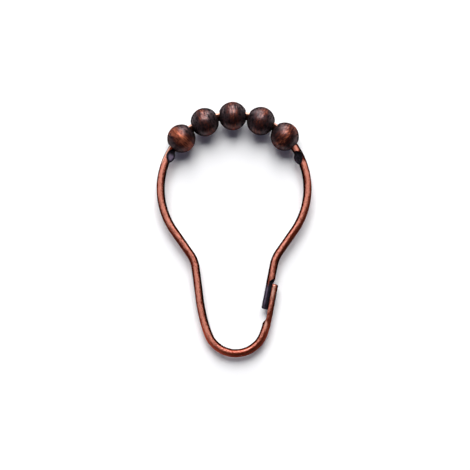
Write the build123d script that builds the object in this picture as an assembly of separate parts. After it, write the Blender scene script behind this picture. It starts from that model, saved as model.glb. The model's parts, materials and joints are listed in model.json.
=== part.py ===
"""Roller-ball shower curtain ring: a bent spring wire with five balls that roll on the rod.

The ring is drawn as it hangs. X runs across it, Y along the curtain rod and Z up.
The origin is the centre of the round lobe, where the rod passes. The viewer stands at -Y.
The wire comes down from the lobe on two sides: the plain spine side at -X and the gate
side at +X, where its two pressed ends lap past each other and spring apart to open.
Lengths are in millimetres and angles in degrees.
"""

import os
from math import acos, asin, cos, degrees, radians, sin, sqrt, tan

from build123d import *

# Wire
WIRE_D = 2.3
TIP_ROUND = 0.45
LOBE_R = 20.65
FLANK_LEAN = 35.0
NECK_R = 8.85

# Spine side, from the lobe down to the hook that carries the curtain
SPINE_FLANK = 10.2
SPINE_LEAN = 7.3
SPINE_LEG = 11.0
SPINE_KNEE_R = 45.0
HEEL_LEAN = 20.0

# Gate side, where the upper and the lower end of the wire lap
GATE_FLANK = 9.35
GATE_LEAN = 10.8
GATE_LEG = 14.65
GATE_KNEE_R = 25.5
GATE_OFFSET = 1.15
GATE_LAP = 7.4
GATE_CLEARANCE = 0.12
UPPER_TONGUE_T = 1.47
UPPER_TILT = 35.0
UPPER_RUN = 0.5
LOWER_TILT = 12.0
LOWER_RUN = 2.75
SHOULDER_SLOPE = 38.0

# Roller balls, threaded on the top of the lobe
BALL_COUNT = 5
BALL_D = 8.0
BALL_GAP = 0.03
BORE_CLEARANCE = 0.06
BORE_CHAMFER = 0.08

# Ears pressed out of the wire, which keep the row of balls in place, a little nearer the gate side
ROW_PLAY = 1.6
ROW_LEAN = 0.8
STOP_GAP = 0.12
EAR_LENGTH = 4.0
EAR_WIDTH = 2.55
EAR_THICKNESS = 1.0
EAR_INSET = 0.6
EAR_TILT = 14.0
EAR_SKEW = 15.0
EAR_DRAFT = 12.0

WIRE_R = WIRE_D / 2
BALL_R = BALL_D / 2
FRONT = Vector(0, -1, 0)


def polar(radius, angle):
    """Point at an angle around the lobe's centre, in the ring's own plane."""
    return Vector(radius * cos(radians(angle)), radius * sin(radians(angle)))


def upward(lean):
    """Direction in the ring's plane that climbs and leans towards +X."""
    return Vector(sin(radians(lean)), cos(radians(lean)))


def in_space(point):
    """Point or direction of the ring's plane, in space."""
    return Vector(point.X, 0, point.Y)


# Gate side: the lower end runs beside the upper one, GATE_OFFSET further out
gate_up = upward(GATE_LEAN)
gate_out = upward(GATE_LEAN + 90)
gate_waist = polar(LOBE_R, -FLANK_LEAN)
gate_neck = gate_waist - upward(FLANK_LEAN) * GATE_FLANK
upper_tip = gate_neck - gate_up * GATE_LEG
lower_tip = upper_tip + gate_out * GATE_OFFSET + gate_up * GATE_LAP

# Spine side: straight leg, then a wide knee bend that hands over to the hook
spine_waist = polar(LOBE_R, 180 + FLANK_LEAN)
spine_neck = spine_waist + upward(180 - FLANK_LEAN) * SPINE_FLANK
spine_down = upward(180 - SPINE_LEAN)
knee_start = spine_neck + spine_down * SPINE_LEG
spine_knee = JernArc(knee_start, spine_down, SPINE_KNEE_R, HEEL_LEAN - SPINE_LEAN)
heel = spine_knee @ 1

# The hook's radius is the one that brings the gate-side knee onto the line of the lower end
knee_across = GATE_KNEE_R * (cos(radians(GATE_LEAN)) - cos(radians(HEEL_LEAN)))
knee_rise = GATE_KNEE_R * (sin(radians(HEEL_LEAN)) - sin(radians(GATE_LEAN)))
gate_line_x = lower_tip.X + (heel.Y + knee_rise - lower_tip.Y) * tan(radians(GATE_LEAN))
hook_r = (gate_line_x - knee_across - heel.X) / (2 * cos(radians(HEEL_LEAN)))
hook = JernArc(heel, spine_knee % 1, hook_r, 180 - 2 * HEEL_LEAN)
gate_knee = JernArc(hook @ 1, hook % 1, GATE_KNEE_R, HEEL_LEAN - GATE_LEAN)

# Row of balls: each straight bore sits midway across the sag of the curved wire in it
bore_sag = LOBE_R - sqrt(LOBE_R**2 - BALL_R**2)
bore_r = WIRE_R + bore_sag / 2 + BORE_CLEARANCE
mouth_r = bore_r + BORE_CHAMFER
mouth_half = sqrt(BALL_R**2 - mouth_r**2)
row_r = LOBE_R - bore_sag / 2
ball_pitch = 2 * degrees(asin((BALL_D + BALL_GAP) / (2 * row_r)))
half_row = ball_pitch * (BALL_COUNT - 1) / 2 + degrees(asin(mouth_half / row_r))
row_shift = degrees((ROW_PLAY / 2 - STOP_GAP) / LOBE_R)
ear_angle = half_row + degrees((ROW_PLAY / 2 + EAR_LENGTH / 2) / LOBE_R)
row_middle = 90 - ROW_LEAN


def wire_run(runs, tip):
    """Round wire along tangent runs of the centreline, with a rounded end at the tip."""
    edges = [edge for run in runs for edge in run.edges()]
    path = Plane.XZ * Wire(edges)
    wire = sweep(Plane(path @ 0, z_dir=path % 0) * Circle(WIRE_R), path=path)
    end = wire.faces().filter_by(GeomType.PLANE).sort_by_distance(in_space(tip))[0]
    return fillet(end.edges(), TIP_ROUND)


def upper_run():
    """Wire from its upper end, up the gate side and over the lobe to the spine flank."""
    gate_side = FilletPolyline(upper_tip, gate_neck, gate_waist, radius=[NECK_R])
    lobe = CenterArc((0, 0), LOBE_R, -FLANK_LEAN, 180 + 2 * FLANK_LEAN)
    return wire_run([gate_side, lobe], upper_tip)


def lower_run():
    """Wire from the spine flank, down the spine side and round the hook to its lower end."""
    spine_side = FilletPolyline(spine_waist, spine_neck, knee_start, radius=[NECK_R])
    lower_end = Line(gate_knee @ 1, lower_tip)
    return wire_run([spine_side, spine_knee, hook, gate_knee, lower_end], lower_tip)


def flat_die(tip, along, normal, keep, length):
    """Solid that presses a flat, facing the normal, on a wire end from its tip to a sloped shoulder."""
    clear = WIRE_D
    run_out = length + (clear - keep) / tan(radians(SHOULDER_SLOPE))
    plane = Plane(in_space(tip), x_dir=along, z_dir=along.cross(normal))
    profile = Polyline((-clear, keep), (length, keep), (run_out, clear), (-clear, clear), close=True)
    return extrude(plane * make_face(profile), WIRE_D, both=True)


def gate_dies():
    """Dies for the upper and the lower end, whose flats pass each other with GATE_CLEARANCE."""
    up = in_space(gate_up)
    out = in_space(gate_out)
    upper_keep = UPPER_TONGUE_T - WIRE_R
    upper_face = out * cos(radians(UPPER_TILT)) + FRONT * sin(radians(UPPER_TILT))
    lower_face = out * cos(radians(LOWER_TILT)) + FRONT * sin(radians(LOWER_TILT))
    back_corner = UPPER_TILT - degrees(acos(upper_keep / WIRE_R))
    upper_reach = WIRE_R * cos(radians(back_corner - LOWER_TILT))
    lower_keep = GATE_OFFSET * cos(radians(LOWER_TILT)) - upper_reach - GATE_CLEARANCE
    upper_die = flat_die(upper_tip, up, upper_face, upper_keep, GATE_LAP + UPPER_RUN)
    lower_die = flat_die(lower_tip, -up, -lower_face, lower_keep, GATE_LAP + LOWER_RUN)
    return upper_die, lower_die


def ear_leaf(side):
    """Leaf-shaped outline of one ear, on the middle plane of its pressed plate, and that plane's normal."""
    angle = row_middle + side * ear_angle
    inward = in_space(-polar(1, angle))
    to_balls = in_space(polar(1, angle - side * 90))
    face = FRONT * cos(radians(EAR_TILT)) + inward * sin(radians(EAR_TILT))
    across = inward * cos(radians(EAR_TILT)) - FRONT * sin(radians(EAR_TILT))
    centre = in_space(polar(LOBE_R, angle)) + across * EAR_INSET
    along = to_balls * cos(radians(EAR_SKEW)) - across * sin(radians(EAR_SKEW))
    plane = Plane(centre, x_dir=along, z_dir=face)
    near = (EAR_LENGTH / 2, 0)
    far = (-EAR_LENGTH / 2, 0)
    one_edge = ThreePointArc(near, (0, EAR_WIDTH / 2), far)
    other_edge = ThreePointArc(far, (0, -EAR_WIDTH / 2), near)
    return plane * make_face([one_edge, other_edge]), face


def press_ear(wire, side):
    """Press one ear: leaf-shaped pockets on the front and the back, and a plate that stands inward."""
    leaf, face = ear_leaf(side)
    for direction in (face, -face):
        floor = Pos(direction * (EAR_THICKNESS / 2)) * leaf
        wire -= extrude(floor, WIRE_D, dir=direction, taper=-EAR_DRAFT)
    return wire + extrude(leaf, EAR_THICKNESS / 2, both=True)


def ring_wire():
    """The whole wire, in one piece."""
    upper_die, lower_die = gate_dies()
    upper = upper_run() - upper_die
    for side in (1, -1):
        upper = press_ear(upper, side)
    return upper + (lower_run() - lower_die)


def roller_ball(angle):
    """Ball with a straight bore along the wire, at an angle around the lobe."""
    bore_half = mouth_half - BORE_CHAMFER
    outer = ThreePointArc((mouth_r, -mouth_half), (BALL_R, 0), (mouth_r, mouth_half))
    bore = Polyline((mouth_r, mouth_half), (bore_r, bore_half), (bore_r, -bore_half), (mouth_r, -mouth_half))
    ball = revolve(Plane.XZ * make_face([outer, bore]), Axis.Z)
    seat = Plane(in_space(polar(row_r, angle)), x_dir=in_space(polar(1, angle)),
                 z_dir=in_space(polar(1, angle + 90)))
    return seat * ball


def ball_angles():
    """Angles of the balls from the spine side to the gate side, with the row against the spine-side ear."""
    middle = (BALL_COUNT - 1) / 2
    return [row_middle + row_shift + (middle - index) * ball_pitch for index in range(BALL_COUNT)]


os.makedirs("parts", exist_ok=True)
export_step(ring_wire(), "parts/ring_wire.step")
for number, ball_angle in enumerate(ball_angles(), 1):
    export_step(roller_ball(ball_angle), f"parts/roller_ball_{number}.step")
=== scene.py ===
import json
from math import acos, asin, atan2, cos, degrees, pi, radians, sin, sqrt, tan
from typing import NamedTuple

import bpy
import numpy as np
from bpy.props import FloatProperty, FloatVectorProperty, PointerProperty
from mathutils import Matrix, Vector, noise


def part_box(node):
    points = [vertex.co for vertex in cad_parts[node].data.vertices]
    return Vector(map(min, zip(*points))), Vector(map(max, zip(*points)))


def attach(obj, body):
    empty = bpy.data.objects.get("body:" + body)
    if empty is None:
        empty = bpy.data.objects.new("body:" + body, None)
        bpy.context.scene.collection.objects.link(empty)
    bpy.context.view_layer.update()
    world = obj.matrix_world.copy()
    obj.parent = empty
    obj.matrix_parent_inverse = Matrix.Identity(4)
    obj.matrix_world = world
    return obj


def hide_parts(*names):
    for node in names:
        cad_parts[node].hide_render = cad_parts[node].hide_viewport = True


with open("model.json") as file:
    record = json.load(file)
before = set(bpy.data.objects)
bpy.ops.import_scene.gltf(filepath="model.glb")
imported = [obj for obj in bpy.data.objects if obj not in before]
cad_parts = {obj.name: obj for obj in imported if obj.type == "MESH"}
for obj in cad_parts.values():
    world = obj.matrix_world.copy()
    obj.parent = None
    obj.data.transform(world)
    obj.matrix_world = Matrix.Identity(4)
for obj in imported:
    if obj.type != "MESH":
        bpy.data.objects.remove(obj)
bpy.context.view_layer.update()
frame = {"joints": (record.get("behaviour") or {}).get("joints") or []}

bl_info = {
    "name": "Roller-ball curtain ring",
    "version": (1, 0, 0),
    "blender": (4, 5, 0),
    "location": "3D View > Sidebar > Curtain ring",
    "description": "Builds a bent-wire shower curtain ring with roller balls, and its stage",
    "category": "Add Mesh",
}

# The ring hangs in the XZ plane with its lobe's centre at the origin, and is looked at along +Y.
# Lengths are in metres. The places that the surfaces keep for their finish are in millimetres.
MM = 0.001
PHOTO_PIXELS = 470

WIRE_LOW, WIRE_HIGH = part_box("ring_wire")
BALL_LOW, BALL_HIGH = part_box("roller_ball_1")
WIRE_D = WIRE_HIGH.y - WIRE_LOW.y
LOBE_R = (WIRE_HIGH.x - WIRE_LOW.x - WIRE_D) / 2
BALL_D = BALL_HIGH.y - BALL_LOW.y
BALL_JOINTS = {joint["child"]: joint for joint in frame["joints"]}

# Mesh of the wire: sides, steps along it where it was worked and where it is plain, the steps' growth away
# from worked places, rings that close a tip, scale of the innermost ring, and tries for an ear's reach
WIRE_SIDES = 72
WORKED_STEP = 0.06 * MM
PLAIN_STEP = 0.4 * MM
STEP_GROWTH = 0.2
CAP_RINGS = 3
CAP_CORE = 0.02
LEAF_TRIES = 2000

# Mesh of a ball: sides, and steps over its outside, round a mouth and along the bore
BALL_SIDES = 128
BALL_STEPS = 110
MOUTH_STEPS = 6
BORE_STEPS = 8

# How close the random dents and grooves lie: dents to a millimetre of wire, grooves to a degree of a ball
DENTS_ALONG = 0.7
DENTS_ACROSS = 1.1
GROOVES = 0.35

# How far each ball is worn to copper, from the spine side, and steps that give each ball its own pattern
BALL_WEAR = (0.38, 0.06, 0.12, 0.04, 0.28)
GROOVE_SEED = 7.0
PATTERN_SEED = 11.0

# A Mix node has sockets for each kind of value. These are the two colours and the colour that comes out.
MIX_FIRST = 6
MIX_SECOND = 7
MIX_RESULT = 2

BLACK = (0.0, 0.0, 0.0, 1.0)
WHITE = (1.0, 1.0, 1.0, 1.0)


def size(name, description, default):
    """Length that a user may set."""
    return FloatProperty(
        name=name,
        description=description,
        default=default,
        min=0.0,
        precision=5,
        unit="LENGTH",
        subtype="DISTANCE",
    )


def angle(name, description, default):
    """Angle that a user may set, with its default in degrees."""
    return FloatProperty(
        name=name, description=description, default=radians(default), unit="ROTATION", subtype="ANGLE"
    )


def colour(name, description, default):
    """Linear colour that a user may set."""
    return FloatVectorProperty(
        name=name, description=description, default=default, min=0.0, max=1.0, subtype="COLOR"
    )


def share(name, description, default):
    """Share from 0 to 1 that a user may set."""
    return FloatProperty(
        name=name, description=description, default=default, min=0.0, max=1.0, subtype="FACTOR"
    )


def level(name, description, default):
    """Plain number that a user may set."""
    return FloatProperty(name=name, description=description, default=default, min=0.0)


class WireSizes(bpy.types.PropertyGroup):
    """Sizes of the bent wire, from its upper end over the lobe and round the hook to its lower end."""

    diameter: size("Diameter", "Diameter of the round wire", WIRE_D)
    lobe_radius: size("Lobe radius", "Radius of the round lobe, to the middle of the wire", LOBE_R)
    flank_lean: angle("Flank lean", "Lean of the flanks below the lobe", 35.0)
    neck_radius: size("Neck radius", "Bend between a flank and a leg", 8.85 * MM)
    spine_flank: size("Spine flank", "Flank on the plain side, from the lobe to the neck", 10.2 * MM)
    spine_lean: angle("Spine lean", "Lean of the plain leg", 7.3)
    spine_leg: size("Spine leg", "Plain leg, from the neck to the knee", 11.0 * MM)
    spine_knee_radius: size("Spine knee radius", "Wide bend from the plain leg into the hook", 45.0 * MM)
    heel_lean: angle("Heel lean", "Lean of the wire where the hook begins and ends", 20.0)
    gate_flank: size("Gate flank", "Flank on the gate side, from the lobe to the neck", 9.35 * MM)
    gate_lean: angle("Gate lean", "Lean of both ends of the wire at the gate", 10.8)
    gate_leg: size("Gate leg", "Upper leg, from the neck to its tip", 14.65 * MM)
    gate_knee_radius: size("Gate knee radius", "Bend from the hook into the lower end", 25.5 * MM)
    gate_offset: size("Gate offset", "How far the lower end stands outside the upper one", 1.15 * MM)
    gate_lap: size("Gate lap", "Length over which the two ends pass each other", 7.4 * MM)
    gate_clearance: size("Gate clearance", "Room between the two flats", 0.12 * MM)
    tip_round: size("Tip round", "Rounding of the two tips", 0.45 * MM)
    upper_tongue: size("Upper tongue", "Thickness left at the upper flat", 1.47 * MM)
    upper_tilt: angle("Upper tilt", "Turn of the upper flat towards the front", 35.0)
    upper_run: size("Upper run", "Upper flat beyond the lap", 0.5 * MM)
    lower_tilt: angle("Lower tilt", "Turn of the lower flat towards the back", 12.0)
    lower_run: size("Lower run", "Lower flat beyond the lap", 2.75 * MM)
    shoulder_slope: angle("Shoulder slope", "Slope from a flat up to the full wire", 38.0)
    ear_length: size("Ear length", "Length of a leaf-shaped ear", 4.0 * MM)
    ear_width: size("Ear width", "Width of a leaf-shaped ear", 2.55 * MM)
    ear_thickness: size("Ear thickness", "Thickness of the pressed plate", 1.0 * MM)
    ear_inset: size("Ear inset", "How far the ear's middle stands inside the wire's", 0.6 * MM)
    ear_tilt: angle("Ear tilt", "Tilt of the ear's face towards the middle of the ring", 14.0)
    ear_skew: angle("Ear skew", "Turn of the leaf's length away from the wire", 15.0)
    ear_draft: angle("Ear draft", "Draft of the pocket's wall", 12.0)
    edge_softness: size("Edge softness", "Rounding of the pressed edges", 0.14 * MM)
    dent_depth: size("Dent depth", "Depth of the faint dents of handling", 0.012 * MM)


class BallSizes(bpy.types.PropertyGroup):
    """Sizes of the roller balls."""

    diameter: size("Diameter", "Diameter of a ball", BALL_D)
    row_play: size("Row play", "Loose travel of the row of balls between the ears", 1.6 * MM)
    stop_gap: size("Stop gap", "Room between the row and the ear it leans on", 0.12 * MM)
    bore_clearance: size("Bore clearance", "Room between the bore and the curved wire in it", 0.06 * MM)
    mouth_round: size("Mouth round", "Rounding of the bore's mouth", 0.08 * MM)
    groove_depth: size("Groove depth", "Depth of the fine turned rings", 0.008 * MM)


class Finish(bpy.types.PropertyGroup):
    """Colours and gloss of the antique copper finish, with those of its painted highlights, sheen and
    reflection.
    """

    copper: colour("Copper", "Copper of the wire's crown", (0.75, 0.26, 0.18))
    # Painted highlight: copper painted where the wire catches the light, and on a worn edge beside a leaf
    highlight_copper: colour("Bright copper", "Copper where the wire is rubbed bright", (0.85, 0.45, 0.34))
    red_copper: colour("Red copper", "Deep red copper in half-worn places", (0.17, 0.026, 0.012))
    # Painted reflection: red painted on the wire's outer side, where its metal would reflect the lit floor
    painted_reflection_red: colour("Warm red", "Copper red of the hook's outer side", (0.50, 0.095, 0.05))
    patina: colour("Patina", "Brown-black patina along the wire's sides", (0.010, 0.004, 0.003))
    pressed_black: colour("Pressed black", "Black along the edges of pressed faces", (0.010, 0.009, 0.011))
    # Painted sheen: lilac grey painted where a pressed face reflects the light
    painted_sheen_grey: colour("Pressed grey", "Lilac grey in the middle of pressed faces", (0.30, 0.23, 0.34))
    ball_dark: colour("Ball dark", "Dark brown of the oil-rubbed balls", (0.016, 0.011, 0.012))
    ball_grey: colour("Ball grey", "Lilac grey of fine scratches on the balls", (0.086, 0.055, 0.060))
    ball_copper: colour("Ball copper", "Copper worn free on the balls", (0.33, 0.092, 0.047))
    ball_red: colour("Ball red", "Reddish brown beside a ball's worn copper", (0.074, 0.017, 0.012))
    wire_metal: share("Wire metal", "How metallic the wire's dark sides are", 0.75)
    wire_roughness: share("Wire roughness", "Roughness of the wire", 0.44)
    wire_lacquer: share("Wire lacquer", "Roughness of the lacquer on the wire's crown", 0.3)
    ball_metal: share("Ball metal", "How metallic the dark of a ball is", 0.85)
    ball_roughness: share("Ball roughness", "Roughness of a ball", 0.45)
    ball_lacquer: share("Ball lacquer", "Roughness of the lacquer on a ball", 0.25)


class StageSettings(bpy.types.PropertyGroup):
    """Camera, light and surroundings."""

    millimetres_per_pixel: level("Millimetres per pixel", "Picture's scale at the ring's plane", 0.2812)
    lobe_column: level("Lobe column", "Picture column of the lobe's centre", 234.05)
    lobe_row: level("Lobe row", "Picture row of the lobe's centre", 188.7)
    lens: level("Lens", "Focal length of the camera in millimetres", 200.0)
    floor_half: size("Floor half", "Half the side of the floor that the ring lies on", 0.8)
    floor_gap: size("Floor gap", "Room between the balls and the floor", 0.05 * MM)
    foot_gap: size("Foot gap", "Room between the foot of the hook and the floor", 1.2 * MM)
    pale: colour("Pale", "Colour of the floor", (0.96, 0.96, 0.96))
    lift: colour("Lift", "Cool light that the floor adds to what is seen of it", (0.012, 0.012, 0.022))
    light_distance: size("Light distance", "Distance of both lights from the ring", 2.5)
    light_width: size("Light width", "Width of both lights", 2.0)
    light_turn: angle("Light turn", "Turn of both lights to the left of the line of sight", 3.0)
    front_angle: angle("Front angle", "Height of the front light above the line of sight", 41.5)
    front_height: size("Front height", "Height of the front light", 1.7)
    front_power: level("Front power", "Power of the front light in watts", 97.0)
    top_angle: angle("Top angle", "Height of the top light above the line of sight", 79.0)
    top_height: size("Top height", "Height of the top light", 1.0)
    top_power: level("Top power", "Power of the top light in watts", 50.0)
    ambient: share("Ambient", "Even light from beyond the ring", 0.09)
    dim_side: colour("Dim side", "Cool light from the eye's side", (0.020, 0.020, 0.028))
    left_side: colour("Left side", "Light from the left of the eye's side", (0.14, 0.14, 0.17))


class Field:
    """A socket of a node tree. Arithmetic on it adds Math nodes to the tree."""

    def __init__(self, tree, socket=None):
        self.tree = tree
        self.socket = socket

    def node(self, kind, settings=None, sockets=None, output=0):
        """Add a node: first its settings, then its sockets' values or links. Returns one output."""
        node = self.tree.nodes.new(kind)
        for name, value in (settings or {}).items():
            setattr(node, name, value)
        for name, value in (sockets or {}).items():
            if isinstance(value, Field):
                self.tree.links.new(value.socket, node.inputs[name])
            else:
                node.inputs[name].default_value = value
        return Field(self.tree, node.outputs[output] if node.outputs else None)

    def math(self, operation, *values):
        """Math node on this tree."""
        return self.node("ShaderNodeMath", {"operation": operation}, dict(enumerate(values)))

    def __add__(self, other):
        return self.math("ADD", self, other)

    __radd__ = __add__

    def __sub__(self, other):
        return self.math("SUBTRACT", self, other)

    def __rsub__(self, other):
        return self.math("SUBTRACT", other, self)

    def __mul__(self, other):
        return self.math("MULTIPLY", self, other)

    __rmul__ = __mul__

    def __abs__(self):
        return self.math("ABSOLUTE", self)

    def larger(self, other):
        """Larger of this value and another."""
        return self.math("MAXIMUM", self, other)

    def ease(self, low, high):
        """Smooth step from 0 at low to 1 at high."""
        settings = {"interpolation_type": "SMOOTHSTEP"}
        sockets = {"Value": self, "From Min": low, "From Max": high}
        return self.node("ShaderNodeMapRange", settings, sockets)

    def blend(self, first, second):
        """Colour that goes from the first to the second as this value goes from 0 to 1."""
        settings = {"data_type": "RGBA", "clamp_factor": True}
        sockets = {0: self, MIX_FIRST: first, MIX_SECOND: second}
        return self.node("ShaderNodeMix", settings, sockets, MIX_RESULT)

    def stretched(self, factors):
        """This vector times a factor on each axis."""
        return self.node("ShaderNodeVectorMath", {"operation": "MULTIPLY"}, {0: self, 1: factors})

    def part(self, axis):
        """One axis of this vector, X, Y or Z."""
        return self.node("ShaderNodeSeparateXYZ", sockets={0: self}, output=axis)

    def attribute(self, name, output="Fac"):
        """Number that the mesh keeps under a name, or its Vector."""
        return self.node("ShaderNodeAttribute", {"attribute_name": name}, output=output)

    def speckle(self, place, scale, detail=3.0, roughness=0.55, seed=0.0):
        """Noise from -0.5 to 0.5 at a place, with seed as its fourth axis."""
        sockets = {"Vector": place, "W": seed, "Scale": scale, "Detail": detail, "Roughness": roughness}
        return self.node("ShaderNodeTexNoise", {"noise_dimensions": "4D"}, sockets) - 0.5

    def bump(self, height, strength, distance):
        """Normal of a surface with fine relief."""
        sockets = {"Strength": strength, "Distance": distance, "Height": height}
        return self.node("ShaderNodeBump", sockets=sockets)

    def facing(self):
        """0 where the surface faces the ray, 1 where it turns away. For gloss."""
        return self.node("ShaderNodeLayerWeight", output="Facing")

    def eye_rays(self):
        """1 on rays from the eye, and 1 on those and on glossy and transmitted rays."""
        eye = self.node("ShaderNodeLightPath", output="Is Camera Ray")
        glossy = self.node("ShaderNodeLightPath", output="Is Glossy Ray")
        through = self.node("ShaderNodeLightPath", output="Is Transmission Ray")
        return eye, eye.larger(glossy).larger(through)


def rgba(value):
    """Colour with full alpha."""
    return (*value, 1.0)


def blank_material(name):
    """Material with an empty node tree, and that tree as a field."""
    material = bpy.data.materials.new(name)
    material.use_nodes = True
    material.node_tree.nodes.clear()
    return material, Field(material.node_tree)


def finish_surface(field, surface):
    """Plug a shader into the material's output."""
    field.node("ShaderNodeOutputMaterial", sockets={"Surface": surface})


# Pieces: meshes that take the place of the solids


def tube_faces(rows, columns):
    """Quads of an open tube of rows of vertices."""
    row, column = np.meshgrid(np.arange(rows - 1), np.arange(columns), indexing="ij")
    here = row * columns + column
    beside = row * columns + (column + 1) % columns
    quads = np.stack([here, beside, beside + columns, here + columns], axis=-1)
    return quads.reshape(-1, 4).tolist()


def new_piece(name, vertices, faces, body, node):
    """Smooth mesh piece that rides on a body and stands for a CAD node, which it hides."""
    mesh = bpy.data.meshes.new(name)
    mesh.from_pydata(vertices, [], faces)
    mesh.validate()
    mesh.shade_smooth()
    piece = bpy.data.objects.new(name, mesh)
    bpy.context.scene.collection.objects.link(piece)
    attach(piece, body)
    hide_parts(node)
    return piece


def keep_number(mesh, name, values):
    """Keep a number on each vertex for the finish."""
    attribute = mesh.attributes.new(name, "FLOAT", "POINT")
    attribute.data.foreach_set("value", np.asarray(values, np.float32).ravel())


def keep_vector(mesh, name, values):
    """Keep a vector on each vertex for the finish."""
    attribute = mesh.attributes.new(name, "FLOAT_VECTOR", "POINT")
    attribute.data.foreach_set("vector", np.asarray(values, np.float32).ravel())


# The wire's line, in the ring's plane


def toward(heading):
    """Unit step in the ring's plane, with the heading counted from +X towards +Z."""
    return np.array([cos(heading), sin(heading)])


def step_along(heading, curve, distance):
    """Step along a run of constant curvature, in the ring's plane."""
    if curve == 0:
        return np.multiply.outer(distance, toward(heading))
    turned = heading + curve * np.asarray(distance)
    return np.stack([np.sin(turned) - sin(heading), cos(heading) - np.cos(turned)], axis=-1) / curve


def arc(radius, turn):
    """Run of a bend to the left, or to the right where the turn is negative."""
    return radius * abs(turn), (1 if turn > 0 else -1) / radius


def follow(point, heading, runs):
    """Place and heading at the end of runs of (length, curvature)."""
    for length, curve in runs:
        point = point + step_along(heading, curve, length)
        heading += curve * length
    return point, heading


def centreline(wire):
    """Start, heading and runs of the wire, from its upper tip to its lower one."""
    gate_heading = pi / 2 - wire.gate_lean
    flank_heading = pi / 2 - wire.flank_lean
    gate_turn = wire.flank_lean - wire.gate_lean
    spine_turn = wire.flank_lean - wire.spine_lean
    gate_trim = wire.neck_radius * tan(gate_turn / 2)
    spine_trim = wire.neck_radius * tan(spine_turn / 2)
    waist = toward(-wire.flank_lean) * wire.lobe_radius
    upper_tip = waist - toward(flank_heading) * wire.gate_flank - toward(gate_heading) * wire.gate_leg
    outside = toward(gate_heading - pi / 2)
    lower_tip = upper_tip + outside * wire.gate_offset + toward(gate_heading) * wire.gate_lap
    runs = [
        (wire.gate_leg - gate_trim, 0),
        arc(wire.neck_radius, -gate_turn),
        (wire.gate_flank - gate_trim, 0),
        arc(wire.lobe_radius, pi + 2 * wire.flank_lean),
        (wire.spine_flank - spine_trim, 0),
        arc(wire.neck_radius, -spine_turn),
        (wire.spine_leg - spine_trim, 0),
        arc(wire.spine_knee_radius, wire.heel_lean - wire.spine_lean),
    ]
    # The hook's radius follows from the rest: it has to bring the lower end beside the upper one
    heel, _ = follow(upper_tip, gate_heading, runs)
    knee_across = wire.gate_knee_radius * (cos(wire.gate_lean) - cos(wire.heel_lean))
    knee_rise = wire.gate_knee_radius * (sin(wire.heel_lean) - sin(wire.gate_lean))
    rise_to_tip = lower_tip[1] - heel[1] - knee_rise
    knee_end_x = lower_tip[0] - rise_to_tip * tan(wire.gate_lean)
    hook_radius = (knee_end_x - knee_across - heel[0]) / (2 * cos(wire.heel_lean))
    runs += [
        arc(hook_radius, pi - 2 * wire.heel_lean),
        arc(wire.gate_knee_radius, wire.heel_lean - wire.gate_lean),
        (rise_to_tip / cos(wire.gate_lean), 0),
    ]
    return upper_tip, gate_heading, runs


def lay_along(start, heading, runs, places):
    """Middle of the wire, and the way to the ring's inside, at distances along it."""
    middle = np.empty((len(places), 2))
    to_inside = np.empty((len(places), 2))
    point = start
    begin = 0.0
    for length, curve in runs:
        here = (places >= begin) & (places <= begin + length + PLAIN_STEP)
        distance = places[here] - begin
        turned = heading + curve * distance
        middle[here] = point + step_along(heading, curve, distance)
        to_inside[here] = np.stack([-np.sin(turned), np.cos(turned)], axis=-1)
        point, heading = follow(point, heading, [(length, curve)])
        begin += length
    return middle, to_inside


def bore_radius(wire, ball):
    """Radius of a straight bore that clears the curved wire in it."""
    sag = wire.lobe_radius - sqrt(wire.lobe_radius**2 - ball.diameter**2 / 4)
    return wire.diameter / 2 + sag / 2 + ball.bore_clearance


def ear_places(wire, ball, runs):
    """Distance along the wire of the gate-side ear and of the spine-side ear, which the row leans on."""
    centres = [Vector(joint["pos_m"]) for joint in frame["joints"]]
    from_gate = [atan2(centre.z, centre.x) + wire.flank_lean for centre in centres]
    mouth = sqrt(ball.diameter**2 / 4 - (bore_radius(wire, ball) + ball.mouth_round) ** 2)
    half_ball = wire.lobe_radius * asin(mouth / centres[0].length)
    to_lobe = sum(length for length, _ in runs[:3])
    row_start = to_lobe + wire.lobe_radius * min(from_gate) - half_ball
    row_end = to_lobe + wire.lobe_radius * max(from_gate) + half_ball
    half_ear = wire.ear_length / 2
    return row_start - ball.row_play + ball.stop_gap - half_ear, row_end + ball.stop_gap + half_ear


def worked_stretches(wire, length, ears):
    """Tips, shoulders and ears with a margin, each as its middle along the wire and half its length."""
    shoulder = wire.diameter
    half_ear = wire.ear_length * 0.6
    return [
        (0.0, wire.tip_round),
        (wire.gate_lap + wire.upper_run + shoulder / 2, shoulder),
        (ears[0], half_ear),
        (ears[1], half_ear),
        (length - wire.gate_lap - wire.lower_run - shoulder / 2, shoulder),
        (length, wire.tip_round),
    ]


def stations(length, worked):
    """Distances along the wire, close together in worked stretches of (middle, half length)."""
    places = [0.0]
    while places[-1] < length:
        away = min(abs(places[-1] - middle) - half for middle, half in worked)
        places.append(places[-1] + min(PLAIN_STEP, WORKED_STEP + max(0.0, away) * STEP_GROWTH))
    return np.array(places) * (length / places[-1])


# The wire's section. Inward is towards the ring's inside, and ahead is towards the eye.


def soft_min(first, second, softness):
    """Lesser of two values, rounded over where they meet."""
    weight = np.clip(0.5 + 0.5 * (second - first) / softness, 0.0, 1.0)
    return second + (first - second) * weight - softness * weight * (1.0 - weight)


def press_flat(wire, inward, ahead, facing, keep, from_tip, run):
    """Section with a flat pressed on it, up to a sloped shoulder, and how deep it was pressed."""
    rise = np.maximum(0.0, from_tip - run) * tan(wire.shoulder_slope)
    height = inward * facing[0] + ahead * facing[1]
    cut = height - soft_min(height, keep + rise, wire.edge_softness)
    return inward - cut * facing[0], ahead - cut * facing[1], cut


def leaf_distance(wire, along, across):
    """Distance outside the leaf's outline, and below zero inside it."""
    length, width = wire.ear_length, wire.ear_width
    edge_radius = (length**2 + width**2) / (4 * width)
    x = along * cos(wire.ear_skew) - across * sin(wire.ear_skew)
    y = along * sin(wire.ear_skew) + across * cos(wire.ear_skew)
    return np.hypot(x, np.abs(y) + edge_radius - width / 2) - edge_radius


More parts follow.
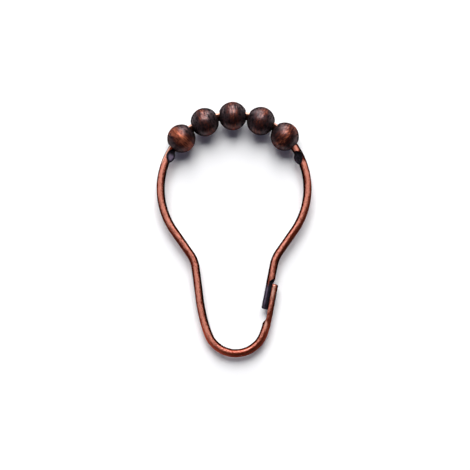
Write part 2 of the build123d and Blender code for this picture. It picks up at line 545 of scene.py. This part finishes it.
def press_ear(wire, inward, ahead, along):
    """Section with an ear, spread inward and flattened from both faces, and the leaf's distance."""
    radius = wire.diameter / 2
    soft = wire.edge_softness
    across = inward * cos(wire.ear_tilt) - ahead * sin(wire.ear_tilt)
    height = inward * sin(wire.ear_tilt) + ahead * cos(wire.ear_tilt)
    tries = np.linspace(0.0, wire.ear_width, LEAF_TRIES)
    inside = leaf_distance(wire, along, tries - wire.ear_inset) < 0
    reach = np.where(inside, tries, 0.0).max(axis=1, keepdims=True)
    spread = -soft_min(-reach, -radius, soft) / radius
    across = np.where(across > 0, across * spread, across)
    leaf = leaf_distance(wire, along, across - wire.ear_inset)
    room = wire.ear_thickness / 2 + np.maximum(0.0, leaf) / tan(wire.ear_draft)
    height = np.sign(height) * soft_min(np.abs(height), room, soft)
    inward = across * cos(wire.ear_tilt) + height * sin(wire.ear_tilt)
    ahead = height * cos(wire.ear_tilt) - across * sin(wire.ear_tilt)
    return inward, ahead, leaf


def round_sections(wire, from_end):
    """Round section of the wire at distances from its nearer tip, which is rounded off."""
    turn = np.linspace(0.0, 2 * pi, WIRE_SIDES, endpoint=False)[None, :]
    short = np.clip(wire.tip_round - from_end, 0.0, wire.tip_round)
    rounded = wire.diameter / 2 - wire.tip_round + np.sqrt(wire.tip_round**2 - short**2)
    return rounded * np.cos(turn), rounded * np.sin(turn)


def wire_sections(wire, places, length, ears):
    """Section at each place: grids of inward, ahead, distance outside the leaves and depth of the flats."""
    radius = wire.diameter / 2
    from_upper = places[:, None]
    from_lower = length - from_upper
    inward, ahead = round_sections(wire, np.minimum(from_upper, from_lower))

    # The lower flat is pressed so deep that it clears the corner at the back of the upper one
    upper_keep = wire.upper_tongue - radius
    back_corner = wire.upper_tilt - acos(upper_keep / radius)
    upper_reach = radius * cos(back_corner - wire.lower_tilt)
    lower_keep = wire.gate_offset * cos(wire.lower_tilt) - upper_reach - wire.gate_clearance
    upper_face = (-cos(wire.upper_tilt), sin(wire.upper_tilt))
    lower_face = (cos(wire.lower_tilt), -sin(wire.lower_tilt))
    inward, ahead, upper_cut = press_flat(
        wire, inward, ahead, upper_face, upper_keep, from_upper, wire.gate_lap + wire.upper_run
    )
    inward, ahead, lower_cut = press_flat(
        wire, inward, ahead, lower_face, lower_keep, from_lower, wire.gate_lap + wire.lower_run
    )
    inward, ahead, gate_leaf = press_ear(wire, inward, ahead, from_upper - ears[0])
    inward, ahead, spine_leaf = press_ear(wire, inward, ahead, ears[1] - from_upper)
    return inward, ahead, np.minimum(gate_leaf, spine_leaf), np.maximum(upper_cut, lower_cut)


def dent(wire, inward, ahead, places):
    """Section with faint dents, which only ever go inward."""
    deep = np.empty_like(inward)
    for row, place in enumerate(places):
        for column in range(inward.shape[1]):
            spot = Vector((place, inward[row, column], ahead[row, column])) / MM
            spot = Vector((spot.x * DENTS_ALONG, spot.y * DENTS_ACROSS, spot.z * DENTS_ACROSS))
            deep[row, column] = 0.5 + 0.5 * noise.noise(spot)
    keep = 1.0 - wire.dent_depth * deep / np.hypot(inward, ahead)
    return inward * keep, ahead * keep


def capped_rows(count):
    """Section and scale of each row of vertices, with rings that shrink to the middle of both tips."""
    shrink = np.linspace(0.0, 1.0, CAP_RINGS, endpoint=False)[:, None] + CAP_CORE
    sections = np.concatenate([np.zeros(CAP_RINGS, int), np.arange(count), np.full(CAP_RINGS, count - 1)])
    return sections, np.concatenate([shrink, np.ones((count, 1)), shrink[::-1]])


def wire_faces(rows):
    """Faces of the wire, closed over both tips."""
    ring = list(range(WIRE_SIDES))
    last = (rows - 1) * WIRE_SIDES
    return [*tube_faces(rows, WIRE_SIDES), ring[::-1], [last + column for column in ring]]


# Wear of the wire, kept on its vertices


class WireSkin(NamedTuple):
    """Grids over the wire's surface, with rows along the wire and columns around it.

    They hold the distance along the wire, the place in the section, the distance outside the leaves,
    the depth of the flats, and the height towards the line along which the wire is worn and its painted
    highlight lies, 1 on that line.
    """

    along: np.ndarray
    inward: np.ndarray
    ahead: np.ndarray
    leaf: np.ndarray
    flat_depth: np.ndarray
    crown: np.ndarray


def ramp(value, low, high):
    """Straight ramp from 0 at low to 1 at high."""
    return np.clip((value - low) / (high - low), 0.0, 1.0)


def wear_along(wire, places, runs, ears):
    """Tarnish and painted shade, lean of the worn crown to the inside, and painted reflection outside, at
    each place.
    """
    # Where the runs end, from the upper leg of the gate over the lobe and round the hook to the lower tip
    ends = np.cumsum([run_length for run_length, _ in runs])
    leg, neck, flank, lobe, spine_flank, spine_neck, spine_leg, heel, toe, _, tip = ends
    gate_side = flank + (ears[0] - flank) / 3
    hook_middle = (heel + toe) / 2
    shoulder = tip - wire.gate_lap - wire.lower_run
    ear = wire.ear_length
    # Each row has a distance along the wire, and the tarnish, the lean in degrees and the painted
    # reflection there
    # The hook's tarnish paints its front and underside as shade, and the tarnish in the row paints shade
    # between the balls.
    # The lean turns the worn copper to the side that faces the light, so the crown is partly a painted
    # highlight.
    wear = (
        (0.0, 0.5, 0.0, 0.0),
        (wire.gate_lap, 1.0, 8.0, 0.0),
        (wire.gate_lap + wire.diameter, 0.2, 8.0, 0.0),
        (leg, 0.15, 18.0, 0.0),
        (neck, 0.3, 28.0, 0.1),
        (flank, 0.35, 29.0, 0.2),
        (gate_side, 0.15, 18.0, 0.2),
        ((gate_side + ears[0]) / 2, 0.05, -15.0, 0.1),
        (ears[0] - ear * 0.45, 0.1, -20.0, 0.0),
        (ears[0] - ear * 0.1, 2.4, -16.0, 0.0),
        (ears[0] + ear * 0.35, 2.4, -10.0, 0.0),
        (ears[0] + ear * 0.5, -0.2, 0.0, 0.0),
        (ears[0] + ear * 0.85, -0.2, 0.0, 0.0),
        (ears[0] + ear, 3.0, -50.0, 0.0),
        (ears[1] - ear, 3.0, -50.0, 0.0),
        (ears[1], 0.05, -17.0, 0.0),
        ((ears[1] + lobe) / 2, -0.05, -12.0, 0.0),
        (lobe, 0.25, 10.0, 0.2),
        (spine_flank, 0.45, 18.0, 0.25),
        (spine_neck, 0.2, 0.0, 0.1),
        (spine_leg, 0.05, -12.0, 0.05),
        ((spine_leg + heel) / 2, 0.05, -12.0, 0.35),
        (heel, 0.25, 6.0, 1.0),
        ((heel + hook_middle) / 2, 0.65, 19.0, 0.85),
        (hook_middle, 1.05, 34.0, 0.5),
        ((hook_middle + toe) / 2, 0.8, 42.0, 0.45),
        (toe, 0.2, 32.0, 0.5),
        (shoulder - wire.diameter, 0.1, 18.0, 0.45),
        (shoulder, 1.4, 12.0, 0.3),
        (shoulder + wire.lower_run, 0.6, 8.0, 0.1),
        (shoulder + wire.lower_run + wire.gate_lap / 3, 0.5, 0.0, 0.0),
        (tip, 0.5, -6.0, 0.0),
    )
    at, tarnish_and_shade, lean, painted_reflection = np.array(wear).T
    lean = np.radians(np.interp(places, at, lean))
    return np.interp(places, at, tarnish_and_shade)[:, None], lean[:, None], np.interp(places, at, painted_reflection)[:, None]


def crown_marks(wire, skin, tarnish_and_shade, painted_reflection):
    """Worn crown, darker at its inner edge, painted shade at its outer edge, tarnish and shade, and the
    painted reflection.
    """
    radius = wire.diameter / 2
    inner_edge = ramp(skin.inward, 0.5 * radius, 0.9 * radius)
    # Painted shade: the outer edge darkened where the round wire turns away from the light
    outer_shade = ramp(skin.inward, -0.55 * radius, -0.9 * radius)
    return {
        "crown": skin.crown - 0.6 * inner_edge - 0.25 * outer_shade,
        "tarnish_and_shade": np.broadcast_to(tarnish_and_shade, skin.along.shape),
        "painted_reflection": painted_reflection * ramp(skin.inward, 0.0, -0.5 * radius),
    }


def press_marks(wire, skin, ears):
    """Pressed faces, and the painted grey sheen on them in the ears' leaves and along the upper tongue."""
    radius = wire.diameter / 2
    soft = wire.edge_softness
    in_leaf = ramp(skin.leaf, 2.0 * soft, soft / 2)
    on_flat = ramp(skin.flat_depth, 0.0, soft)
    on_tongue = ramp(skin.along, wire.gate_lap * 1.05, wire.gate_lap * 0.8)
    spine_side = ramp(skin.along, ears[1] - wire.ear_length, ears[1] - wire.ear_length / 2)
    # Painted shade from the balls over the top of the spine-side leaf
    ball_shade = spine_side * ramp(skin.along, ears[1] - 0.1 * MM, ears[1] - 0.9 * MM)
    # Painted sheen in the leaves, lighter on the spine-side leaf than on the gate-side one
    sheen_leaf = ramp(skin.leaf, -0.35 * MM, -0.8 * MM) * (0.06 + 0.74 * spine_side) * (1.0 - ball_shade)
    # Painted sheen along a line on the upper tongue
    from_outside = ramp(skin.inward, -0.4 * radius, 0.4 * radius)
    from_inside = ramp(skin.inward, 0.9 * radius, 0.6 * radius)
    sheen_line = from_outside * from_inside * (0.5 + 0.5 * ramp(skin.along, 0.0, 0.6 * wire.gate_lap))
    return {
        "pressed": np.maximum(np.maximum(in_leaf, on_flat), on_tongue),
        "grey": np.maximum(sheen_leaf, on_tongue * (0.04 + 0.34 * sheen_line)),
    }


def worn_edge_and_painted_highlights(wire, skin, length, ears):
    """How bright the wire is made: a worn edge with painted highlight by the spine-side leaf, painted
    highlights in the row and at its lower end.
    """
    radius = wire.diameter / 2
    ear = wire.ear_length
    from_outside = ramp(skin.inward, -0.92 * radius, -0.8 * radius)
    from_inside = ramp(skin.inward, -0.45 * radius, -0.65 * radius)
    by_ear = ramp(np.abs(skin.along - ears[1]), ear, 0.5 * ear)
    # Worn edge beside the spine-side leaf, with a painted highlight on it
    beside_leaf = from_outside * from_inside * by_ear * ramp(skin.leaf, 0.1 * MM, 0.2 * MM)
    # Painted highlight on the wire's outer line between the balls
    row_start = ramp(skin.along, ears[0] + ear, ears[0] + 1.2 * ear)
    row_end = ramp(skin.along, ears[1] - ear, ears[1] - 1.2 * ear)
    in_row = row_start * row_end * ramp(skin.inward, -0.45 * radius, -0.75 * radius)
    # Painted highlights on the lower tip and a painted glint below the lower shoulder
    tip_side = ramp(skin.along, length - 0.9 * wire.gate_lap, length - 0.4 * wire.gate_lap)
    at_tip = 0.85 * tip_side * ramp(skin.crown, 0.92, 0.98)
    below_shoulder = length - wire.gate_lap - wire.lower_run - 0.6 * wire.diameter
    glint = ramp(np.abs(skin.along - below_shoulder), 0.7 * wire.diameter, 0.2 * wire.diameter)
    at_shoulder = 0.7 * glint * ramp(skin.crown, 0.9, 0.98)
    return np.maximum.reduce([beside_leaf, in_row, at_tip, at_shoulder])


def wire_finish(finish):
    """Antique copper: worn along the crown, brown-black on the sides, black where pressed; painted sheen,
    highlights and reflection.
    """
    material, field = blank_material("antique_copper_wire")
    place = field.attribute("unrolled", "Vector")
    pressed = field.attribute("pressed")
    streaks = field.speckle(place.stretched((0.30, 1.6, 1.6)), 1.0, detail=4.0)
    mottle = field.speckle(place.stretched((0.6, 1.5, 1.5)), 2.6, detail=3.0, seed=5.0)
    drawn = field.speckle(place.stretched((0.12, 9.0, 9.0)), 1.0, detail=2.0, seed=9.0)
    flecks = streaks * 0.4 + mottle * 0.75
    worn = field.attribute("crown") - field.attribute("tarnish_and_shade") * 0.22 + flecks
    copper = worn.ease(0.66, 1.03)
    black = (pressed + flecks * 0.4).ease(0.1, 0.9)
    # Painted highlights from the rubbed marks, with the worn edge beside the spine-side leaf
    bright = (field.attribute("rubbed") + flecks).ease(0.35, 0.85)
    # Painted sheen: grey on pressed faces, from the grey marks
    grey = (field.attribute("grey") + flecks).blend(rgba(finish.pressed_black), rgba(finish.painted_sheen_grey))
    base = worn.ease(0.3, 0.7).blend(rgba(finish.patina), rgba(finish.red_copper))
    # Painted reflection of the lit floor, red on the wire's outer side and strongest round the hook
    base = (field.attribute("painted_reflection") + flecks * 0.3).blend(base, rgba(finish.painted_reflection_red))
    base = copper.blend(base, rgba(finish.copper))
    base = black.blend(base, grey)
    base = bright.blend(base, rgba(finish.highlight_copper))
    surface = field.node(
        "ShaderNodeBsdfPrincipled",
        sockets={
            "Base Color": base,
            "Metallic": finish.wire_metal - copper * 0.35 - black * 0.3,
            "Roughness": finish.wire_roughness - (pressed + bright) * 0.1 + mottle * 0.15,
            "Normal": field.bump(drawn, 0.25, 0.03 * MM),
            "Coat Weight": copper * (1.0 - black) * (1.0 - field.facing().ease(0.25, 0.7)),
            "Coat Roughness": finish.wire_lacquer,
            "Coat IOR": 1.7,
            "Specular IOR Level": 0.0,
            "Specular Tint": (0.2, 0.2, 0.2, 1.0),
        },
    )
    finish_surface(field, surface)
    return material


class CURTAINRING_OT_bend_wire(bpy.types.Operator):
    """Bend the wire: sweep its section along the centreline, and press its two ends and two ears"""

    bl_idname = "curtainring.bend_wire"
    bl_label = "Bend the wire"

    def execute(self, context):
        wire = context.scene.curtain_ring_wire
        start, heading, runs = centreline(wire)
        length = sum(run_length for run_length, _ in runs)
        ears = ear_places(wire, context.scene.curtain_ring_ball, runs)
        places = stations(length, worked_stretches(wire, length, ears))
        inward, ahead, leaf, flat_depth = wire_sections(wire, places, length, ears)
        inward, ahead = dent(wire, inward, ahead, places)
        middle, to_inside = lay_along(start, heading, runs, places)

        sections, scale = capped_rows(len(places))
        inward, ahead = inward[sections] * scale, ahead[sections] * scale
        in_plane = middle[sections][:, None, :] + inward[..., None] * to_inside[sections][:, None, :]
        points = np.stack([in_plane[..., 0], -ahead, in_plane[..., 1]], axis=-1).reshape(-1, 3).tolist()
        faces = wire_faces(len(sections))
        piece = new_piece("bent_wire", points, faces, "wire", "ring_wire")

        along = np.broadcast_to(places[sections][:, None], inward.shape)
        tarnish_and_shade, lean, painted_reflection = wear_along(wire, places[sections], runs, ears)
        # Worn crown, leaned towards the light, so that it also paints the wire's highlight
        crown = (np.abs(ahead) * np.cos(lean) + inward * np.sin(lean)) / (wire.diameter / 2)
        skin = WireSkin(along, inward, ahead, leaf[sections], flat_depth[sections], crown)
        keep_vector(piece.data, "unrolled", np.stack([along, inward, ahead], axis=-1) / MM)
        marks = {**crown_marks(wire, skin, tarnish_and_shade, painted_reflection), **press_marks(wire, skin, ears)}
        # The rubbed marks are mostly painted highlights, with a worn edge beside the spine-side leaf
        marks["rubbed"] = worn_edge_and_painted_highlights(wire, skin, length, ears)
        for name, values in marks.items():
            keep_number(piece.data, name, values)
        piece.data.materials.append(wire_finish(context.scene.curtain_ring_finish))
        return {"FINISHED"}


# The balls


def ball_profile(ball, radius, bore, number):
    """Closed outline of a ball as (radius, height): grooved outside, round mouths and straight bore."""
    round_r = ball.mouth_round
    centre_r = bore + round_r
    centre_z = sqrt((radius - round_r) ** 2 - centre_r**2)
    mouth_turn = atan2(centre_z, centre_r)
    outside = np.linspace(-mouth_turn, mouth_turn, BALL_STEPS)
    spots = [Vector((degrees(turn) * GROOVES, GROOVE_SEED * number, 0.0)) for turn in outside]
    reach = radius - ball.groove_depth * np.array([0.5 + 0.5 * noise.noise(spot) for spot in spots])
    outer = np.stack([reach * np.cos(outside), reach * np.sin(outside)], axis=-1)
    bend = np.linspace(mouth_turn, pi, MOUTH_STEPS + 2)[1:]
    upper_mouth = np.stack([centre_r + round_r * np.cos(bend), centre_z + round_r * np.sin(bend)], axis=-1)
    walls = np.linspace(centre_z, -centre_z, BORE_STEPS + 2)[1:-1]
    inner = np.stack([np.full(BORE_STEPS, bore), walls], axis=-1)
    lower_mouth = upper_mouth[::-1] * (1.0, -1.0)
    return np.concatenate([outer, upper_mouth, inner, lower_mouth])


def revolve(profile):
    """Vertices and faces of a closed outline of (radius, height), turned about its axis."""
    rows = len(profile)
    turn = np.linspace(0.0, 2 * pi, BALL_SIDES, endpoint=False)
    across = profile[:, :1]
    height = np.broadcast_to(profile[:, 1:], (rows, BALL_SIDES))
    vertices = np.stack([across * np.cos(turn), across * np.sin(turn), height], axis=-1)
    faces = tube_faces(rows, BALL_SIDES)
    last = (rows - 1) * BALL_SIDES
    for column in range(BALL_SIDES):
        after = (column + 1) % BALL_SIDES
        faces.append([last + column, last + after, after, column])
    return vertices.reshape(-1, 3), faces


def ball_finish(finish):
    """Oil-rubbed copper: dark brown, worn to copper in rings round the middle of the ball."""
    material, field = blank_material("oil_rubbed_copper_ball")
    place = field.attribute("turned", "Vector")
    seed = field.attribute("seed")
    rings = field.speckle(place.stretched((0.55, 0.55, 2.8)), 1.0, detail=5.0, roughness=0.65, seed=seed)
    patches = field.speckle(place, 0.4, detail=3.0, seed=seed + 3.0)
    fine = place.stretched((1.0, 1.0, 1.8))
    grain = field.speckle(fine, 1.7, detail=4.0, roughness=0.65, seed=seed + 7.0)
    band = 1.0 - abs(place.part("Z")).ease(0.3, 3.0)
    scratches = (rings + grain) * 4.2
    wear = field.attribute("worn") - 0.5 + band * 0.6 + rings * 2.6 + (grain + patches) * 1.2
    copper = wear.ease(0.2, 0.9)
    base = scratches.ease(-0.7, 0.8).blend(rgba(finish.ball_dark), rgba(finish.ball_grey))
    base = wear.ease(-0.3, 0.4).blend(base, rgba(finish.ball_red))
    base = copper.blend(base, rgba(finish.ball_copper))
    lacquer = (1.0 - field.facing().ease(0.3, 0.8)) * scratches.ease(-0.8, 1.0)
    surface = field.node(
        "ShaderNodeBsdfPrincipled",
        sockets={
            "Base Color": base,
            "Metallic": finish.ball_metal - copper * 0.3,
            "Roughness": finish.ball_roughness + grain * 0.4,
            "Normal": field.bump(rings + grain * 0.6, 0.6, 0.08 * MM),
            "Coat Weight": lacquer * (1.0 - copper * 0.6),
            "Coat Roughness": finish.ball_lacquer,
            "Specular IOR Level": 0.0,
            "Specular Tint": (0.25, 0.25, 0.28, 1.0),
        },
    )
    finish_surface(field, surface)
    return material


class CURTAINRING_OT_turn_balls(bpy.types.Operator):
    """Turn the balls: revolve their grooved outline and round bore, and thread them on the wire"""

    bl_idname = "curtainring.turn_balls"
    bl_label = "Turn the balls"

    def execute(self, context):
        ball = context.scene.curtain_ring_ball
        bore = bore_radius(context.scene.curtain_ring_wire, ball)
        material = ball_finish(context.scene.curtain_ring_finish)
        for number, worn in enumerate(BALL_WEAR, 1):
            body = f"ball_{number}"
            local, faces = revolve(ball_profile(ball, ball.diameter / 2, bore, number))
            centre = Vector(BALL_JOINTS[body]["pos_m"])
            axis = Vector(BALL_JOINTS[body]["axis"]).normalized()
            outward = centre.normalized()
            basis = np.array([outward, axis.cross(outward), axis])
            points = (local @ basis + np.array(centre)).tolist()
            node = f"roller_ball_{number}"
            piece = new_piece(f"turned_ball_{number}", points, faces, body, node)
            keep_vector(piece.data, "turned", local / MM)
            keep_number(piece.data, "worn", np.full(len(local), worn))
            keep_number(piece.data, "seed", np.full(len(local), PATTERN_SEED * number))
            piece.data.materials.append(material)
        return {"FINISHED"}


# The stage


def floor_finish(stage):
    """Pale matt floor, lifted a little where it is seen, and open to the eye from its back."""
    material, field = blank_material("pale_floor")
    eye, seen = field.eye_rays()
    surface = field.node(
        "ShaderNodeBsdfPrincipled",
        sockets={
            "Base Color": rgba(stage.pale),
            "Roughness": 1.0,
            "Specular IOR Level": 0.0,
            "Emission Color": seen.blend(BLACK, rgba(stage.lift)),
            "Emission Strength": 1.0,
        },
    )
    back = field.node("ShaderNodeNewGeometry", output="Backfacing")
    clear = field.node("ShaderNodeBsdfTransparent")
    finish_surface(field, field.node("ShaderNodeMixShader", sockets={0: back * eye, 1: surface, 2: clear}))
    return material


def lay_floor(scene):
    """Lay the floor under the balls, so that it leaves the foot gap below the hook."""
    stage = scene.curtain_ring_stage
    ball_r = scene.curtain_ring_ball.diameter / 2
    wire_r = scene.curtain_ring_wire.diameter / 2
    ball_z = min(joint["pos_m"][2] for joint in frame["joints"])
    foot_z = WIRE_LOW.z + wire_r
    lean = (ball_r + stage.floor_gap - wire_r - stage.foot_gap) / (ball_z - foot_z)
    half = stage.floor_half
    corners = []
    for x, z in ((-half, -half), (half, -half), (half, half), (-half, half)):
        corners.append((x, ball_r + stage.floor_gap + lean * (z - ball_z), z))
    mesh = bpy.data.meshes.new("pale_floor")
    mesh.from_pydata(corners, [], [(0, 1, 2, 3)])
    mesh.materials.append(floor_finish(stage))
    floor = bpy.data.objects.new("pale_floor", mesh)
    scene.collection.objects.link(floor)


def set_world(stage):
    """White or even light from beyond the ring, and dim light from the eye's side, paler on the left."""
    world = bpy.data.worlds.new("studio")
    world.use_nodes = True
    world.node_tree.nodes.clear()
    field = Field(world.node_tree)
    eye, seen = field.eye_rays()
    ambient = (stage.ambient, stage.ambient, stage.ambient, 1.0)
    direction = field.node("ShaderNodeTexCoord", output="Generated")
    from_left = (direction.part("X") * -1.0).ease(0.2, 0.9)
    behind_eye = (direction.part("Y") * -1.0).ease(-0.8, -0.2)
    dim = from_left.blend(rgba(stage.dim_side), rgba(stage.left_side))
    light = ((1.0 - eye) * behind_eye).blend(seen.blend(ambient, WHITE), dim)
    background = field.node("ShaderNodeBackground", sockets={"Color": light, "Strength": 1.0})
    field.node("ShaderNodeOutputWorld", sockets={"Surface": background})
    bpy.context.scene.world = world


def add_softbox(name, stage, rise, height, power):
    """Soft light at a rise above the line of sight, turned to the ring."""
    light = bpy.data.lights.new(name, "AREA")
    light.shape = "RECTANGLE"
    light.size = stage.light_width
    light.size_y = height
    light.energy = power
    lamp = bpy.data.objects.new(name, light)
    aside = -cos(rise) * sin(stage.light_turn)
    away = Vector((aside, -cos(rise) * cos(stage.light_turn), sin(rise)))
    lamp.location = away * stage.light_distance
    lamp.rotation_euler = away.to_track_quat("Z", "Y").to_euler()
    bpy.context.scene.collection.objects.link(lamp)


def set_camera(scene):
    """Look at the ring along +Y, at the picture's scale and with the lobe's centre at its place there."""
    stage = scene.curtain_ring_stage
    pixel = stage.millimetres_per_pixel * MM
    centre_x = (PHOTO_PIXELS / 2 - stage.lobe_column) * pixel
    centre_z = (stage.lobe_row - PHOTO_PIXELS / 2) * pixel
    eye = bpy.data.cameras.new("camera")
    eye.lens = stage.lens
    distance = PHOTO_PIXELS * pixel * eye.lens / eye.sensor_width
    eye.clip_start = distance / 100
    eye.clip_end = distance * 10
    camera = bpy.data.objects.new("camera", eye)
    camera.location = (centre_x, -distance, centre_z)
    camera.rotation_euler = (pi / 2, 0.0, 0.0)
    scene.collection.objects.link(camera)
    scene.camera = camera


class CURTAINRING_OT_set_stage(bpy.types.Operator):
    """Set the stage: the pale floor that the ring lies on, seen from above, the light and the camera"""

    bl_idname = "curtainring.set_stage"
    bl_label = "Set the stage"

    def execute(self, context):
        scene = context.scene
        stage = scene.curtain_ring_stage
        lay_floor(scene)
        set_world(stage)
        add_softbox("front_softbox", stage, stage.front_angle, stage.front_height, stage.front_power)
        add_softbox("top_softbox", stage, stage.top_angle, stage.top_height, stage.top_power)
        set_camera(scene)
        scene.view_settings.view_transform = "Standard"
        return {"FINISHED"}


class CURTAINRING_PT_pieces(bpy.types.Panel):
    """Sizes, finish and pieces of the ring"""

    bl_label = "Curtain ring"
    bl_idname = "CURTAINRING_PT_pieces"
    bl_space_type = "VIEW_3D"
    bl_region_type = "UI"
    bl_category = "Curtain ring"

    def draw(self, context):
        for title, group, operator in SECTIONS:
            box = self.layout.box()
            box.label(text=title)
            settings = getattr(context.scene, group)
            for name in settings.__annotations__:
                box.prop(settings, name)
            if operator:
                box.operator(operator.bl_idname)


SECTIONS = (
    ("Wire", "curtain_ring_wire", CURTAINRING_OT_bend_wire),
    ("Balls", "curtain_ring_ball", CURTAINRING_OT_turn_balls),
    ("Finish", "curtain_ring_finish", None),
    ("Stage", "curtain_ring_stage", CURTAINRING_OT_set_stage),
)
GROUPS = {
    "curtain_ring_wire": WireSizes,
    "curtain_ring_ball": BallSizes,
    "curtain_ring_finish": Finish,
    "curtain_ring_stage": StageSettings,
}
CLASSES = (
    *GROUPS.values(),
    CURTAINRING_OT_bend_wire,
    CURTAINRING_OT_turn_balls,
    CURTAINRING_OT_set_stage,
    CURTAINRING_PT_pieces,
)


def register():
    """Register the classes and hang the settings on the scene."""
    for entry in CLASSES:
        bpy.utils.register_class(entry)
    for name, group in GROUPS.items():
        setattr(bpy.types.Scene, name, PointerProperty(type=group))


def unregister():
    """Take the settings off the scene and the classes out."""
    for name in GROUPS:
        delattr(bpy.types.Scene, name)
    for entry in reversed(CLASSES):
        bpy.utils.unregister_class(entry)


def main():
    """Build the ring and its stage."""
    register()
    bpy.ops.curtainring.bend_wire()
    bpy.ops.curtainring.turn_balls()
    bpy.ops.curtainring.set_stage()


if __name__ == "__main__":
    main()
